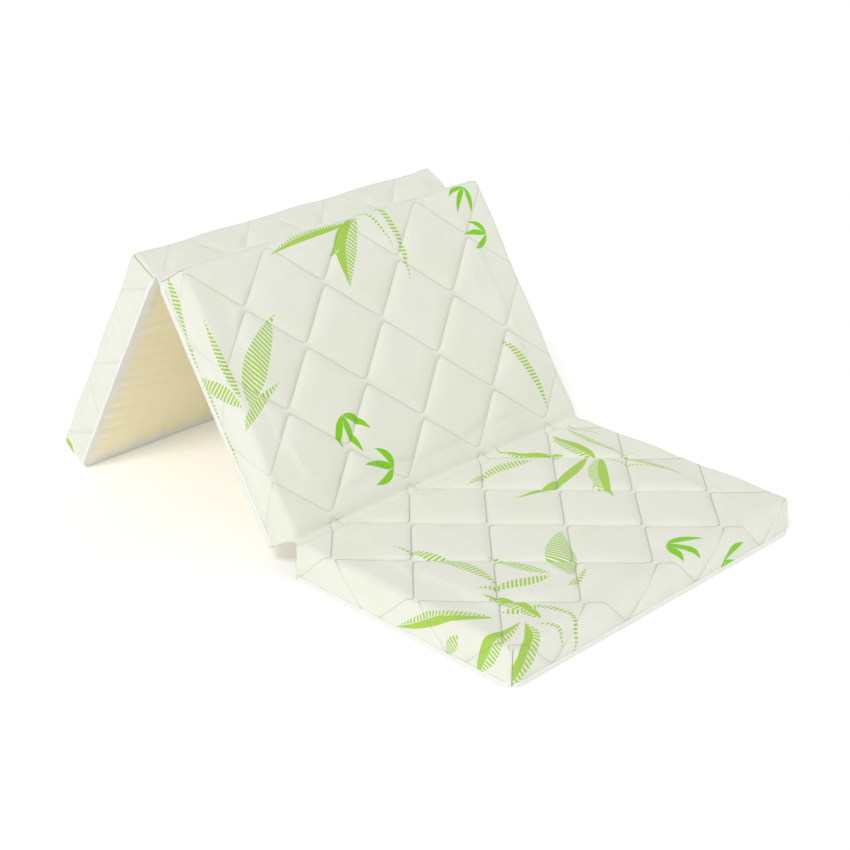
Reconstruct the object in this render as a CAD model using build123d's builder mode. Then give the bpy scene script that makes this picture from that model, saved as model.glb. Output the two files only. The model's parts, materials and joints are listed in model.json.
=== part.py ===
"""Folding foam mattress of three pads, standing half open. Millimetres, +Z up.

The front pad lies flat. The middle pad rises from the first fold, and the rear
pad runs from the second fold back down to the floor. Each pad is a pocket: a
quilted cover of three plies over the top and sides, a plain cloth below, and
two layers of foam inside, closed by a zip on the right-hand side.

Each pad is drawn on its own plane: x runs along the pad from its fold line,
y across it, and z from its underside up to its quilted face.
"""
import os
from collections import namedtuple
from math import asin, atan2, cos, degrees, hypot, radians, sin

from build123d import *

os.makedirs("parts", exist_ok=True)

# Driving sizes of the mattress
width = 600.0
thickness = 60.0
front_length = 395.0  # first fold line to the free end
middle_length = 405.0  # fold line to fold line
rear_length = 415.0  # second fold line to the free end
first_fold = radians(56.0)  # how far the middle pad is raised from flat

# The folds: each is a line of cloth, just outside the faces that close on it
fold_setback = 3.0  # from the fold line to the pad's end
fold_clearance = 0.3  # from the fold line to the cloth that reaches it
fold_rise = 1.5  # fold line above the quilted face, or below the underside

# The cover's plies, from the outside in
binding_ply = 1.0
binding_height = 5.0
knit_ply = 1.0
wadding_ply = 4.0
backing_ply = 0.5
base_ply = 1.0
end_wall_ply = 1.0
edge_radius = 16.0  # round of the quilted face's edges
corner_radius = 20.0  # round of the pad's upright corners

# The foam
support_foam_height = 35.0

# The zip
zip_end_gap = 45.0
zip_line_height = 17.0
tape_width = 9.0
tape_slit = 2.0
tape_ply = 0.8
coil_width = 5.0
coil_height = 1.8
stop_length = 4.0
stop_height = 2.4
zip_clearance = 0.3
slider_length = 11.0
slider_width = 9.0
slider_roof = 1.5
park_gap = 12.0  # zip end to the slider's middle when it is closed
bridge_length = 8.0
bridge_width = 2.0
bridge_height = 3.2
window_length = 5.0
window_height = 2.2
pull_bar_radius = 0.75
pull_length = 24.0
pull_neck = 6.0
pull_width = 6.4
pull_ply = 1.4
pull_window_width = 3.6

# Heights and insets that follow from the sizes above
knit_inset = binding_ply
wadding_inset = knit_inset + knit_ply
backing_inset = wadding_inset + wadding_ply
foam_inset = backing_inset + backing_ply
foam_top = thickness - (foam_inset - binding_ply)
slider_base = tape_ply + zip_clearance
slider_top = tape_ply + coil_height + zip_clearance + slider_roof
bar_height = slider_top + window_height / 2
zip_proud = slider_top + bridge_height - binding_ply

# The fold lines and slopes. The rear pad's lower edge just reaches the floor.
middle_along = Vector(-cos(first_fold), 0, sin(first_fold))
middle_up = Vector(sin(first_fold), 0, cos(first_fold))
first_line = Vector(0, 0, thickness + fold_rise)
middle_base = first_line - middle_up * (thickness + fold_rise)
second_line = middle_base + middle_along * middle_length - middle_up * fold_rise
rear_reach = hypot(rear_length, fold_rise)
rear_slope = asin(second_line.Z / rear_reach) + atan2(fold_rise, rear_length)
rear_along = Vector(-cos(rear_slope), 0, -sin(rear_slope))
rear_up = Vector(-sin(rear_slope), 0, cos(rear_slope))
rear_base = second_line + rear_up * fold_rise

# The origin is at the middle of the whole object's box, on the floor
round_centre = (
    rear_base
    + rear_along * (rear_length - knit_inset - edge_radius)
    + rear_up * (thickness - edge_radius)
)
box_low_x = round_centre.X - edge_radius
recentre = Vector(-(front_length + box_low_x) / 2, -zip_proud / 2, 0)

Pad = namedtuple("Pad", "name plane length start end first_fold_open park")
pads = (
    Pad(
        "front",
        Plane(origin=recentre, x_dir=(1, 0, 0), z_dir=(0, 0, 1)),
        front_length,
        fold_clearance,
        front_length,
        True,
        "start",
    ),
    Pad(
        "middle",
        Plane(origin=middle_base + recentre, x_dir=middle_along, z_dir=middle_up),
        middle_length,
        fold_clearance,
        middle_length - fold_setback,
        True,
        "start",
    ),
    Pad(
        "rear",
        Plane(origin=rear_base + recentre, x_dir=rear_along, z_dir=rear_up),
        rear_length,
        fold_setback,
        rear_length,
        False,
        "end",
    ),
)


def save(part, name):
    """Label a finished piece and write it to its own file."""
    part.label = name
    export_step(part, f"parts/{name}.step")


def draw_outline(pad, inset, start):
    """Draw a pad's plan, this far inside its outer edge, with rounded corners."""
    end = pad.end - inset
    across = width - 2 * inset
    with Locations(((start + end) / 2, 0)):
        plan = Rectangle(end - start, across)
    corners = plan.vertices()
    if pad.first_fold_open:
        corners = corners.sort_by(Axis.X)[-2:]
    fillet(corners, corner_radius - inset)


def upper_edges(pad, solid_edges):
    """The edges round the quilted face, without the one on an open first fold."""
    top = solid_edges.group_by(Axis(pad.plane.origin, pad.plane.z_dir))[-1]
    if pad.first_fold_open:
        return top.sort_by(Axis(pad.plane.origin, pad.plane.x_dir))[1:]
    return top


def make_quilt_ply(pad, inset, ply):
    """One ply of the quilted cover: a tray turned mouth down over the foam."""
    start = pad.start if pad.first_fold_open else pad.start + inset
    top = thickness - (inset - knit_inset)
    along = Axis(pad.plane.origin, pad.plane.x_dir)
    up = Axis(pad.plane.origin, pad.plane.z_dir)
    with BuildPart() as tray:
        with BuildSketch(pad.plane.offset(base_ply)):
            draw_outline(pad, inset, start)
        extrude(amount=top - base_ply)
        fillet(upper_edges(pad, tray.edges()), edge_radius - (inset - knit_inset))
        mouths = [tray.faces().sort_by(up)[0]]
        if pad.first_fold_open:
            mouths.append(tray.faces().sort_by(along)[0])
        offset(amount=-ply, openings=mouths, kind=Kind.INTERSECTION)
    return tray.part


def make_base_cloth(pad):
    """The plain cloth under a pad. At the second fold it runs on to the fold line."""
    low = fold_clearance if pad.name == "rear" else fold_setback
    high = pad.length - fold_clearance if pad.name == "middle" else pad.length
    with BuildPart() as base_cloth:
        with BuildSketch(pad.plane) as plan:
            with Locations(((low + high) / 2, 0)):
                Rectangle(high - low, width)
            if pad.name != "middle":
                fillet(plan.vertices().sort_by(Axis.X)[-2:], corner_radius)
        extrude(amount=base_ply)
    return base_cloth.part


def make_binding(pad):
    """The narrow tape that closes the seam round a pad's lower edge."""
    start = pad.start
    with BuildPart() as binding:
        with BuildSketch(pad.plane.offset(base_ply)):
            draw_outline(pad, 0, start)
        extrude(amount=binding_height)
        with BuildSketch(pad.plane.offset(base_ply)):
            draw_outline(pad, binding_ply, start if pad.first_fold_open else start + binding_ply)
        extrude(amount=binding_height, mode=Mode.SUBTRACT)
    return binding.part


def foam_start(pad):
    """Where the foam begins along a pad, behind its end wall or its quilted end."""
    if pad.first_fold_open:
        return fold_setback + end_wall_ply
    return pad.start + foam_inset


def make_support_foam(pad):
    """The firm lower foam, which carries the memory foam."""
    with BuildPart() as support_foam:
        with BuildSketch(pad.plane.offset(base_ply)):
            draw_outline(pad, foam_inset, foam_start(pad))
        extrude(amount=support_foam_height)
    return support_foam.part


def make_memory_foam(pad):
    """The soft upper foam, rounded to fit the quilted cover."""
    floor_of_layer = base_ply + support_foam_height
    with BuildPart() as memory_foam:
        with BuildSketch(pad.plane.offset(floor_of_layer)):
            draw_outline(pad, foam_inset, foam_start(pad))
        extrude(amount=foam_top - floor_of_layer)
        fillet(upper_edges(pad, memory_foam.edges()), edge_radius - (foam_inset - knit_inset))
    return memory_foam.part


def make_end_wall(pad):
    """The plain cloth wall that closes a pocket at the first fold."""
    across = width - 2 * foam_inset
    tall = foam_top - base_ply
    wall_plane = Plane(
        origin=pad.plane.from_local_coords(Vector(fold_setback, 0, base_ply + tall / 2)),
        x_dir=pad.plane.y_dir,
        z_dir=pad.plane.x_dir,
    )
    with BuildPart() as end_wall:
        with BuildSketch(wall_plane) as face:
            Rectangle(across, tall)
            top_corners = face.vertices().sort_by(Axis.Y)[-2:]
            fillet(top_corners, edge_radius - (foam_inset - knit_inset))
        extrude(amount=end_wall_ply)
    return end_wall.part


def zip_plane(pad):
    """A pad's zip line: x along the pad, z out of its right-hand side."""
    right = Vector(0, 1, 0)
    side = right.dot(pad.plane.y_dir)
    point = Vector(0, side * (width / 2 - knit_inset), zip_line_height)
    return Plane(origin=pad.plane.from_local_coords(point), x_dir=pad.plane.x_dir, z_dir=right)


def zip_span(pad):
    """The two ends of a pad's zip, measured from its fold line."""
    return zip_end_gap, pad.length - zip_end_gap


def make_zip_tapes(pad):
    """The two woven tapes, one above and one below the coil."""
    low, high = zip_span(pad)
    shift = (tape_slit + tape_width) / 2
    with BuildPart() as tapes:
        with BuildSketch(zip_plane(pad)):
            with Locations(((low + high) / 2, shift), ((low + high) / 2, -shift)):
                Rectangle(high - low, tape_width)
        extrude(amount=tape_ply)
    return tapes.part


def make_zip_coil(pad):
    """The closed coil, a low ridge that bridges the two tapes."""
    low, high = zip_span(pad)
    line = zip_plane(pad)
    start = line.from_local_coords(Vector(low + stop_length, 0, tape_ply))
    section = Plane(origin=start, x_dir=line.y_dir, z_dir=line.x_dir)
    rise = coil_height if section.y_dir.dot(line.z_dir) > 0 else -coil_height
    half = coil_width / 2
    with BuildPart() as coil:
        with BuildSketch(section):
            with BuildLine():
                Line((-half, 0), (half, 0))
                ThreePointArc((half, 0), (0, rise), (-half, 0))
            make_face()
        extrude(amount=high - low - 2 * stop_length)
    return coil.part


def make_zip_stops(pad):
    """The two stops crimped on the ends of the coil."""
    low, high = zip_span(pad)
    with BuildPart() as stops:
        with BuildSketch(zip_plane(pad).offset(tape_ply)):
            with Locations((low + stop_length / 2, 0), (high - stop_length / 2, 0)):
                RectangleRounded(stop_length, coil_width, 1.0)
        extrude(amount=stop_height)
        fillet(stops.faces().sort_by(Axis.Y)[-2:].edges(), 0.6)
    return stops.part


def parked(pad):
    """The slider's place along a closed zip, and which way its pull points."""
    low, high = zip_span(pad)
    if pad.park == "start":
        return low + park_gap, -1
    return high - park_gap, 1


def make_slider(pad):
    """The slider: a channel over the coil, with a bridge that holds the pull."""
    place, _ = parked(pad)
    line = zip_plane(pad)
    channel_width = coil_width + 2 * zip_clearance
    channel_depth = coil_height
    bridge_plane = Plane(
        origin=line.from_local_coords(Vector(place, bridge_width / 2, slider_top)),
        x_dir=line.x_dir,
        z_dir=line.y_dir * -1,
    )
    with BuildPart() as slider:
        with BuildSketch(line.offset(slider_base)):
            with Locations((place, 0)):
                RectangleRounded(slider_length, slider_width, 2.0)
        extrude(amount=slider_top - slider_base)
        fillet(slider.faces().sort_by(Axis.Y)[-1].edges(), 0.5)
        with BuildSketch(line.offset(slider_base)):
            with Locations((place, 0)):
                Rectangle(slider_length, channel_width)
        extrude(amount=channel_depth, mode=Mode.SUBTRACT)
        with BuildSketch(bridge_plane):
            with Locations((0, bridge_height / 2)):
                Rectangle(bridge_length, bridge_height)
            with Locations((0, window_height / 2)):
                Rectangle(window_length, window_height, mode=Mode.SUBTRACT)
        extrude(amount=bridge_width)
    return slider.part


def make_pull(pad):
    """The pull: a bar under the bridge, two arms and a flat tab."""
    place, way = parked(pad)
    line = zip_plane(pad)
    bar_plane = Plane(
        origin=line.from_local_coords(Vector(place, -pull_width / 2, bar_height)),
        x_dir=line.x_dir,
        z_dir=line.y_dir,
    )
    with BuildPart() as pull:
        with BuildSketch(line.offset(bar_height - pull_ply / 2)):
            with Locations((place + way * pull_length / 2, 0)):
                Rectangle(pull_length, pull_width)
            with Locations((place + way * pull_neck / 2, 0)):
                Rectangle(pull_neck, pull_window_width, mode=Mode.SUBTRACT)
        extrude(amount=pull_ply)
        far = pull.edges().filter_by(Axis.Y).sort_by(Axis(pad.plane.origin, pad.plane.x_dir * way))
        fillet(far[-2:], 2.0)
        with BuildSketch(bar_plane):
            Circle(pull_bar_radius)
        extrude(amount=pull_width)
    return pull.part


for pad in pads:
    save(make_quilt_ply(pad, knit_inset, knit_ply), f"{pad.name}_knit_face")
    save(make_quilt_ply(pad, wadding_inset, wadding_ply), f"{pad.name}_wadding")
    save(make_quilt_ply(pad, backing_inset, backing_ply), f"{pad.name}_backing_scrim")
    save(make_base_cloth(pad), f"{pad.name}_base_cloth")
    save(make_binding(pad), f"{pad.name}_seam_binding")
    save(make_memory_foam(pad), f"{pad.name}_memory_foam")
    save(make_support_foam(pad), f"{pad.name}_support_foam")
    save(make_zip_tapes(pad), f"{pad.name}_zip_tapes")
    save(make_zip_coil(pad), f"{pad.name}_zip_coil")
    save(make_zip_stops(pad), f"{pad.name}_zip_stops")
    save(make_slider(pad), f"{pad.name}_zip_slider")
    save(make_pull(pad), f"{pad.name}_zip_pull")
    if pad.first_fold_open:
        save(make_end_wall(pad), f"{pad.name}_end_wall")

first_pivot = first_line + recentre
second_pivot = second_line + recentre
print("first fold line", first_pivot.X, first_pivot.Z)
print("second fold line", second_pivot.X, second_pivot.Z)
print("rear slope", degrees(rear_slope))
for pad in pads:
    place, way = parked(pad)
    bar = zip_plane(pad).from_local_coords(Vector(place, 0, bar_height))
    low, high = zip_span(pad)
    print(pad.name, "pull bar", bar.X, bar.Y, bar.Z, "slide", high - low - 2 * park_gap, way)
    print(pad.name, "along", pad.plane.x_dir, "up", pad.plane.z_dir)
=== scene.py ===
import json
from collections import namedtuple

import bpy
import numpy as np
from mathutils import Matrix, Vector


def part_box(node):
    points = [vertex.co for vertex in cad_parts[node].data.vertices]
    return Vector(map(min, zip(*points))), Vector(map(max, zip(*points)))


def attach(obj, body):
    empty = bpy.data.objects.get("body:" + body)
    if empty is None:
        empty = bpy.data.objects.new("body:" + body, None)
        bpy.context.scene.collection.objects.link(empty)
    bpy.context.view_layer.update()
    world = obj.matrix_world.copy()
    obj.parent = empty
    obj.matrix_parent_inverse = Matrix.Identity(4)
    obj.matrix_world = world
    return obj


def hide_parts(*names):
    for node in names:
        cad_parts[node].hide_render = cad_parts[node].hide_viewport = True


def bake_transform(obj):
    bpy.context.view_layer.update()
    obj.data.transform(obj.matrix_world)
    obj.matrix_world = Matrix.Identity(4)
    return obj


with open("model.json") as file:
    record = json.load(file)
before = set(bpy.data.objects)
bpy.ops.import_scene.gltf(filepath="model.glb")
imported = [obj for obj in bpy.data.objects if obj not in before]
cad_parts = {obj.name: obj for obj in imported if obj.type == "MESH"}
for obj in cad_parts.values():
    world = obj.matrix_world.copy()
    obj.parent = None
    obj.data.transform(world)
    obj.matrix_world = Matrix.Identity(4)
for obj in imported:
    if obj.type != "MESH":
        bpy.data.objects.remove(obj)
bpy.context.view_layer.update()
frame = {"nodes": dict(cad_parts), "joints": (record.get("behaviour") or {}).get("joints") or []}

# ---------------------------------------------------------------------------
# The camera and the studio
# Seamless white paper on the floor, one broad soft lamp high on the left, a faint
# one low beside it, and an even white room.
MM = 0.001
folds = {joint["name"]: joint for joint in frame["joints"]}
first_line = np.array(folds["first_fold"]["pos_m"])
base_low, base_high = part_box("front_base_cloth")


def aim(thing, centre, azimuth, elevation, distance, roll=0.0):
    """Put a thing on a sphere round the centre, with its -Z axis pointing at the centre."""
    az, el, turn = np.radians([azimuth, elevation, roll])
    back = np.array([np.sin(az) * np.cos(el), -np.cos(az) * np.cos(el), np.sin(el)])
    right = np.array([np.cos(az), np.sin(az), 0.0])
    up = np.cross(back, right)
    side = right * np.cos(turn) + up * np.sin(turn)
    top = up * np.cos(turn) - right * np.sin(turn)
    spot = centre + back * distance
    thing.matrix_world = Matrix([[side[i], top[i], back[i], spot[i]] for i in range(3)]
                                + [[0, 0, 0, 1]])


camera_data = bpy.data.cameras.new("camera")
camera_data.lens = 81.7
camera_data.sensor_width = 36.0
camera = bpy.data.objects.new("camera", camera_data)
bpy.context.scene.collection.objects.link(camera)
view_centre = np.array([first_line[0] - 0.079, base_low.y + 0.333, 0.100])
aim(camera, view_centre, 43.74, 24.62, 2.858, 0.87)
bpy.context.scene.camera = camera

for light_name, azimuth, elevation, spread, strength in (
    ("key_light", 25, 50, 15, 1.18),
    ("side_light", -40, 25, 45, 0.05),
):
    light_data = bpy.data.lights.new(light_name, "SUN")
    light_data.angle = np.radians(spread)
    light_data.energy = strength
    light = bpy.data.objects.new(light_name, light_data)
    bpy.context.scene.collection.objects.link(light)
    aim(light, np.array([0.0, 0.0, 0.1]), azimuth, elevation, 2.6)

world = bpy.data.worlds.new("studio")
world.use_nodes = True
world.node_tree.nodes["Background"].inputs["Color"].default_value = (1, 1, 1, 1)
world.node_tree.nodes["Background"].inputs["Strength"].default_value = 0.61
bpy.context.scene.world = world
bpy.context.scene.view_settings.view_transform = "Standard"


def linear(code):
    """sRGB hex to linear: each channel c is c / 12.92, or ((c + 0.055) / 1.055) ** 2.4."""
    c = np.array([int(code[i:i + 2], 16) for i in (1, 3, 5)]) / 255
    c = np.where(c <= 0.04045, c / 12.92, ((c + 0.055) / 1.055) ** 2.4)
    return (*c.tolist(), 1.0)


def add_node(material, kind, inputs=None, **settings):
    """Add a node. Settings are its properties; inputs are values, outputs or nodes.

    A node given as an input stands for its first output.
    """
    node = material.node_tree.nodes.new(kind)
    for key, value in settings.items():
        setattr(node, key, value)
    for key, value in (inputs or {}).items():
        if isinstance(value, bpy.types.Node):
            value = value.outputs[0]
        if isinstance(value, bpy.types.NodeSocket):
            material.node_tree.links.new(value, node.inputs[key])
        else:
            node.inputs[key].default_value = value
    return node


def start_material(name, roughness, sheen=0.0, specular=0.3):
    """A new material and its shader, with the constants set on the shader's own sockets."""
    material = bpy.data.materials.new(name)
    material.use_nodes = True
    shader = material.node_tree.nodes["Principled BSDF"]
    shader.inputs["Roughness"].default_value = roughness
    shader.inputs["Sheen Weight"].default_value = sheen
    shader.inputs["Sheen Roughness"].default_value = 0.5
    shader.inputs["Specular IOR Level"].default_value = specular
    return material, shader


def finish_material(material, shader, colour, normal):
    """Link the colour and the bumped normal to the shader."""
    material.node_tree.links.new(colour, shader.inputs["Base Color"])
    material.node_tree.links.new(normal, shader.inputs["Normal"])


def show(name, mesh, material):
    """A new object at the origin for a mesh, with its material."""
    mesh.materials.append(material)
    piece = bpy.data.objects.new(name, mesh)
    bpy.context.scene.collection.objects.link(piece)
    return piece


def flecked_material(name, roughness, specular, light, dark, per_metre, strength, depth,
                     detail=2.0):
    """A material whose one noise, per_metre across, mixes two tones and gives the relief."""
    material, shader = start_material(name, roughness, specular=specular)
    spot = add_node(material, "ShaderNodeTexCoord").outputs["Object"]
    fleck = add_node(material, "ShaderNodeTexNoise", {"Vector": spot, "Scale": per_metre,
                                                      "Detail": detail})
    tone = add_node(material, "ShaderNodeMix", {0: fleck, 6: linear(light), 7: linear(dark)},
                    data_type="RGBA")
    grain = add_node(material, "ShaderNodeBump", {"Height": fleck, "Strength": strength,
                                                  "Distance": depth})
    finish_material(material, shader, tone.outputs[2], grain.outputs["Normal"])
    return material, shader


# Matt seamless paper: nearly white, with a trace of fibre, and lit through a little.
floor_paper, shader = flecked_material("white_background_paper", 0.9, 0.1, "#FBFBFB", "#FEFEFE",
                                       4.0, 0.1, 0.2 * MM)
shader.inputs["Emission Color"].default_value = (1, 1, 1, 1)
shader.inputs["Emission Strength"].default_value = 0.15
reach = 8.0
floor_mesh = bpy.data.meshes.new("floor")
floor_mesh.from_pydata([(-reach, -reach, 0), (reach, -reach, 0), (reach, reach, 0),
                        (-reach, reach, 0)], [], [(0, 1, 2, 3)])
floor = show("floor", floor_mesh, floor_paper)

# ---------------------------------------------------------------------------
# The quilted cover: where its cloth lies
# Knit, wadding and scrim are one quilted cloth, cut as a cap with a dart down
# each corner. One cap crosses the first fold; the rear pad has its own.
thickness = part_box("front_knit_face")[1].z
width = base_high.y - base_low.y
raised = np.radians(-folds["first_fold"]["range_deg"][0])
lean = np.radians(-folds["second_fold"]["range_deg"][0]) - raised
second_line = np.array(folds["second_fold"]["pos_m"])
fold_rise = first_line[2] - thickness
setback = base_low.x - first_line[0]
Pad = namedtuple("Pad", "name corner along up start end")


def left_corner(x, z):
    """A point on the left-hand edge of the pads."""
    return np.array([x, base_low.y, z])


def pad_frame(name, x, z, along_x, along_z, start, end):
    """A pad's left corner on its fold line, and its directions along and up through it."""
    along = np.array([along_x, 0.0, along_z])
    up = np.array([-along_z, 0.0, along_x]) * np.sign(along_x)
    return Pad(name, left_corner(x, z), along, up, start, end)


high_x = first_line[0] - np.sin(raised) * (thickness + fold_rise)
high_z = first_line[2] - np.cos(raised) * (thickness + fold_rise)
middle_length = ((second_line[0] - high_x) * -np.cos(raised)
                 + (second_line[2] - high_z) * np.sin(raised))
rear_x = second_line[0] - np.sin(lean) * fold_rise
rear_z = second_line[2] + np.cos(lean) * fold_rise
rear_length = (rear_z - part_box("rear_base_cloth")[0].z) / np.sin(lean)
front = pad_frame("front", first_line[0], 0.0, 1.0, 0.0, 0.0, base_high.x - first_line[0])
middle = pad_frame("middle", high_x, high_z, -np.cos(raised), np.sin(raised), 0.0,
                   middle_length - setback)
rear = pad_frame("rear", rear_x, rear_z, -np.cos(lean), -np.sin(lean), setback, rear_length)


def place(pad, along, across, height):
    """Row-frame points: the pad's corner, plus each distance times its own direction."""
    return (pad.corner + np.asarray(along)[..., None] * pad.along
            + np.asarray(across)[..., None] * np.array([0.0, 1.0, 0.0])
            + np.asarray(height)[..., None] * pad.up)


cover_foot = 4.0 * MM
cover_inset = 1.0 * MM
cover_round = 11.0 * MM
cover_pitch = 2.3 * MM
Patch = namedtuple("Patch", "pad box across along near_end inset top")


def steps(low, high, pitch):
    """Evenly spaced values from low to high, about pitch apart."""
    return np.linspace(low, high, int(round((high - low) / pitch)) + 1)


def cap_patches(pad, pitch, far_way, near_end, inset=cover_inset, top=thickness):
    """The faces of a pad's cap, each a grid on its square box of (along, across, height).

    A face's place on the flat cloth is its place on the box, unrolled over the edge that it
    hangs from: its drop down a side is added across or along. Along grows far_way.
    """
    low, high = pad.start + inset * near_end, pad.end - inset
    s = steps(low, high, pitch)[:, None]
    u = steps(inset, width - inset, pitch)[:, None]
    h = steps(cover_foot, top, pitch)[None, :]
    drop = top - h
    faces = [
        (s, u.T, top, u.T, s),
        (s, inset, h, -drop, s),
        (s, width - inset, h, width + drop, s),
        (high, u, h, u, high + drop),
    ]
    if near_end:
        faces.append((low, u, h, u, low - drop))
    patches = []
    for along, across, height, flat_across, flat_along in faces:
        box = np.stack(np.broadcast_arrays(along, across, height), axis=-1).astype(float)
        shape = box.shape[:2]
        patches.append(Patch(pad, box, np.broadcast_to(flat_across, shape) / MM,
                             far_way * np.broadcast_to(flat_along, shape) / MM, near_end,
                             inset, top))
    return patches


def round_off(patch):
    """The square box with its edges rounded, and its normals.

    Each point goes to the nearest point of a box that is smaller by the radius, and one radius
    back from it towards where it was, which is also the normal's direction.
    """
    pad, margin = patch.pad, patch.inset + cover_round
    low = [pad.start + margin if patch.near_end else -1.0, margin, -1.0]
    high = [pad.end - margin, width - margin, patch.top - cover_round]
    core = np.clip(patch.box, low, high)
    normal = patch.box - core
    normal = normal / np.linalg.norm(normal, axis=-1, keepdims=True)
    return core + cover_round * normal, normal


# The quilting: a wide machine sews a diamond lattice through all the layers.
# Its rows are zigzags across the cloth that nearly meet at their corners.
diamond_across = 150.0
diamond_along = 154.5
lattice_across = 305.0
lattice_along = 66.0
zigzag = 0.98


def stitch_distance(across, along):
    """Signed distance in mm to the nearest row of stitching.

    The rows are where g = cos V - k cos U is zero, with U and V the phases across and along.
    The distance is g over the square root of |grad g|^2 plus |g| times its curvature.
    """
    per_across, per_along = 2 * np.pi / diamond_across, 2 * np.pi / diamond_along
    u = (across - lattice_across) * per_across
    v = (along - lattice_along) * per_along
    g = np.cos(v) - zigzag * np.cos(u)
    slope = (zigzag * per_across * np.sin(u)) ** 2 + (per_along * np.sin(v)) ** 2
    return g / np.sqrt(slope + np.abs(g) * per_across * per_along / 2 + 1e-9)


def waves(across, along, lengths, seed):
    """A smooth random field: eight sine waves of about the two wavelengths, in mm."""
    draw = np.random.default_rng(seed)
    total = np.zeros(np.broadcast(across, along).shape)
    for _ in range(8):
        a, b = draw.normal(size=2)
        total = total + np.sin(2 * np.pi * (a * across / lengths[0] + b * along / lengths[1])
                               + draw.uniform(0, 2 * np.pi))
    return total / 4


def rim_distances(patch):
    """Distances in mm from the nearest long side and from the nearest end, seen from above."""
    along, across = patch.box[..., 0], patch.box[..., 1]
    to_side = np.minimum(across, width - across) - cover_inset
    to_end = patch.pad.end - cover_inset - along
    if patch.near_end:
        to_end = np.minimum(to_end, along - patch.pad.start - cover_inset)
    return to_side / MM, to_end / MM


def corner_distance(patch):
    """Distance in mm from the nearest upright corner seam, seen from above."""
    return np.hypot(*rim_distances(patch))


def zip_clear(patch):
    """1 where the zip is sewn on, fading to 0 in 9 mm around it."""
    height, along = patch.box[..., 2] / MM, patch.box[..., 0] / MM
    length = patch.pad.end / MM
    tall = np.clip((38 - height) / 9, 0, 1)
    run = np.clip((along - 26) / 9, 0, 1) * np.clip((length - 26 - along) / 9, 0, 1)
    return tall * run * (patch.box[..., 1] > width / 2)


def cover_relief(patch, slack):
    """How far in mm the cloth stands off its rounded box.

    Each cell is a sum of rises from the stitching at distance d: 1 - exp(-d / 9) for the
    wadding, 1 - exp(-d / 2.4) where the thread bites, and 1 - exp(-(d / 30)^2) for its crown.
    They halve towards the rim. Sides bulge as a half sine over their height, darts draw the
    corners in by exp(-(d / 3)^2), and slack is what the cloth simulation adds.
    """
    d = np.abs(stitch_distance(patch.across, patch.along))
    drop = (thickness - patch.box[..., 2]) / MM
    tall = (thickness - cover_foot) / MM
    hanging = np.clip(drop / 14, 0, 1)
    cells = 3.9 * (1 - np.exp(-d / 9.0)) + 1.6 * (1 - np.exp(-d / 2.4))
    cells = cells + 2.0 * (1 - np.exp(-((d / 30.0) ** 2))) - 6.2
    rim = np.minimum(*rim_distances(patch))
    cells = cells * (1 - 0.5 * np.exp(-rim / 22.0) - 0.12 * hanging) - 0.3 * hanging
    bulge = 2.2 * np.sin(np.pi * np.clip(drop / tall, 0, 1))
    soft = 0.35 * waves(patch.across, patch.along, (190, 190), 3)
    soft = soft + 0.12 * waves(patch.across, patch.along, (42, 42), 5)
    near_fold = 0.0 if patch.near_end else np.exp(-np.abs(patch.along) / 34.0) * (1 - hanging)
    soft = soft + 0.9 * near_fold * waves(patch.across, patch.along, (330, 26), 11)
    relief = cells + soft + bulge * hanging + slack * (1 - np.exp(-((d / 5.0) ** 2)))
    relief = np.where(drop < 2, np.minimum(relief, 1.2), relief)
    seam = corner_distance(patch)
    dart = np.exp(-((seam / 3.0) ** 2))
    gather = 0.9 * np.exp(-seam / 10.0) * np.sin(seam / 1.9 + drop / 8.0) * (1 - dart)
    relief = relief * (1 - dart) - 1.4 * dart + gather
    foot = np.exp(-(patch.box[..., 2] - cover_foot) / (5 * MM)) * (drop > 20)
    relief = relief * (1 - foot)
    held = zip_clear(patch)
    return relief * (1 - held) - 0.5 * held


def valley(pad, local):
    """Local points of the front or middle cap in the row frame.

    Near the first fold the cloth turns about the fold line by a share of the fold's angle. The
    share is a smoothstep of run cos(a / 2) + depth sin(a / 2), a being the angle, so that the
    top face turns through the fold and the pads' sides stay apart below it. The cloth dips at
    the line by a Gaussian of the run, more at its left end, where it is tucked in.
    """
    band = 13 * MM
    sign = 1.0 if pad.name == "front" else -1.0
    depth = thickness - local[..., 2]
    skirt = np.clip(depth / (12 * MM), 0, 1)
    run = local[..., 0] + 1.6 * MM * skirt * np.exp(-local[..., 0] / (25 * MM))
    reach_in = run * np.cos(raised / 2) + np.maximum(depth, 0) * np.sin(raised / 2)
    t = np.clip(0.5 - sign * reach_in / (2 * band), 0, 1)
    angle = raised * t * t * (3 - 2 * t)
    crease = 3.0 + 2.5 * np.exp(-((local[..., 1] / 0.16) ** 2))
    dip = crease * MM * np.exp(-((run / (6.5 * MM)) ** 2)) * (1 - skirt)
    x, z = sign * run, -fold_rise - depth - dip
    out = np.empty(local.shape)
    out[..., 0] = first_line[0] + x * np.cos(angle) + z * np.sin(angle)
    out[..., 1] = base_low.y + local[..., 1]
    out[..., 2] = first_line[2] - x * np.sin(angle) + z * np.cos(angle)
    return out


def cap_points(patch, slack=0.0):
    """The cap's points in the row frame, and the same points 1 mm further out."""
    surface, normal = round_off(patch)
    relief = cover_relief(patch, slack)[..., None] * MM
    inner, outer = surface + normal * relief, surface + normal * (relief + MM)
    if patch.near_end:
        return [place(patch.pad, p[..., 0], p[..., 1], p[..., 2]) for p in (inner, outer)]
    return [valley(patch.pad, p) for p in (inner, outer)]


def cap_keys(patch):
    """What grid points share when they are one point: their place on the box.

    Along is signed, so that two caps meet at a fold. It is shifted by the drop, so that only
    their top faces do.
    """
    key = patch.box.copy()
    key[..., 0] += 0.02 * (thickness - patch.box[..., 2])
    if patch.pad.name == "middle":
        key[..., 0] *= -1
    return key


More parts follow.
